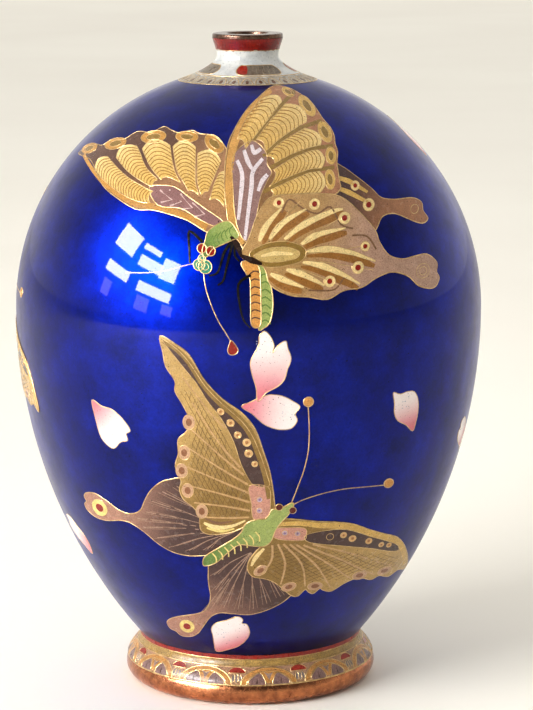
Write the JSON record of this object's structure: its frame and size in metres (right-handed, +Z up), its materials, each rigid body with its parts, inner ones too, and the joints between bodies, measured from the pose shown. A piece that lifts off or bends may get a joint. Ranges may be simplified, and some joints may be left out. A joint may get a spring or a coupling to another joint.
{
  "type": "cloisonne vase",
  "caption": "Ovoid footed vase with a short flared neck, a copper body and foot ring, and wired enamel cells forming butterflies and petals on a deep blue ground.",
  "frame": {"origin": "middle of the flat face that the foot ring rests on", "axes": "+Z up along the vase's axis; -Y is the front, where the side-view butterfly's body lies"},
  "size_m": [0.107, 0.107, 0.15],
  "materials": {
    "copper": "polished copper with a brown patina in the hollows",
    "bronze_lip": "patinated silvered metal, satin",
    "gilt_wire": "flattened wire, polished flush",
    "blue_enamel": "polished translucent cobalt enamel",
    "counter_enamel": "unpolished mottled enamel",
    "white_enamel": "speckled",
    "taupe_enamel": "speckled",
    "red_enamel": "translucent over copper",
    "sand_enamel": "speckled with metal grains",
    "orange_enamel": "opaque",
    "mauve_enamel": "opaque, mottled",
    "cream_enamel": "opaque, ribbed with wires",
    "tan_enamel": "opaque, shaded",
    "khaki_enamel": "opaque, veined with wires",
    "dusk_enamel": "opaque, finely veined",
    "green_enamel": "opaque, shaded",
    "teal_enamel": "opaque",
    "petal_enamel": "opaque, shaded from pink to white"
  },
  "bodies": {
    "root": {"copper_body": "copper", "base_disc": "copper", "foot_ring": "copper", "mouth_ring": "bronze_lip", "lining_enamel": "counter_enamel", "base_enamel": "counter_enamel", "ground_enamel": "blue_enamel", "collar_enamel": "white_enamel", "collar_border": "taupe_enamel", "collar_cartouches": "taupe_enamel", "cartouche_ends": "red_enamel", "neck_band": "red_enamel", "collar_wires": "gilt_wire", "foot_red_line": "red_enamel", "foot_sand_band": "sand_enamel", "foot_frieze": "mauve_enamel", "foot_fans": "orange_enamel", "foot_windows": "mauve_enamel", "foot_caps": "red_enamel", "foot_wires": "gilt_wire", "side_forewing_left": "cream_enamel", "side_forewing_right": "cream_enamel", "side_hindwing_near": "tan_enamel", "side_hindwing_far": "tan_enamel", "side_thorax": "green_enamel", "side_eyes": "red_enamel", "side_proboscis": "teal_enamel", "side_abdomen_back": "green_enamel", "side_abdomen_belly": "orange_enamel", "side_antenna_drop": "red_enamel", "side_spots": "red_enamel", "side_wires": "gilt_wire", "open_forewing_left": "khaki_enamel", "open_forewing_right": "khaki_enamel", "open_hindwing_left": "dusk_enamel", "open_hindwing_right": "dusk_enamel", "open_body": "green_enamel", "open_eyes": "red_enamel", "open_clubs": "orange_enamel", "open_spots": "cream_enamel", "open_wires": "gilt_wire", "back_side_forewings": "cream_enamel", "back_side_hindwings": "tan_enamel", "back_side_body": "green_enamel", "back_side_wires": "gilt_wire", "back_open_forewings": "cream_enamel", "back_open_hindwings": "dusk_enamel", "back_open_body": "green_enamel", "back_open_wires": "gilt_wire", "petal_1": "petal_enamel", "petal_2": "petal_enamel", "petal_3": "petal_enamel", "petal_4": "petal_enamel", "petal_5": "petal_enamel", "petal_6": "petal_enamel", "petal_7": "petal_enamel", "back_petals": "petal_enamel", "petal_wires": "gilt_wire"}
  },
  "joints": []
}
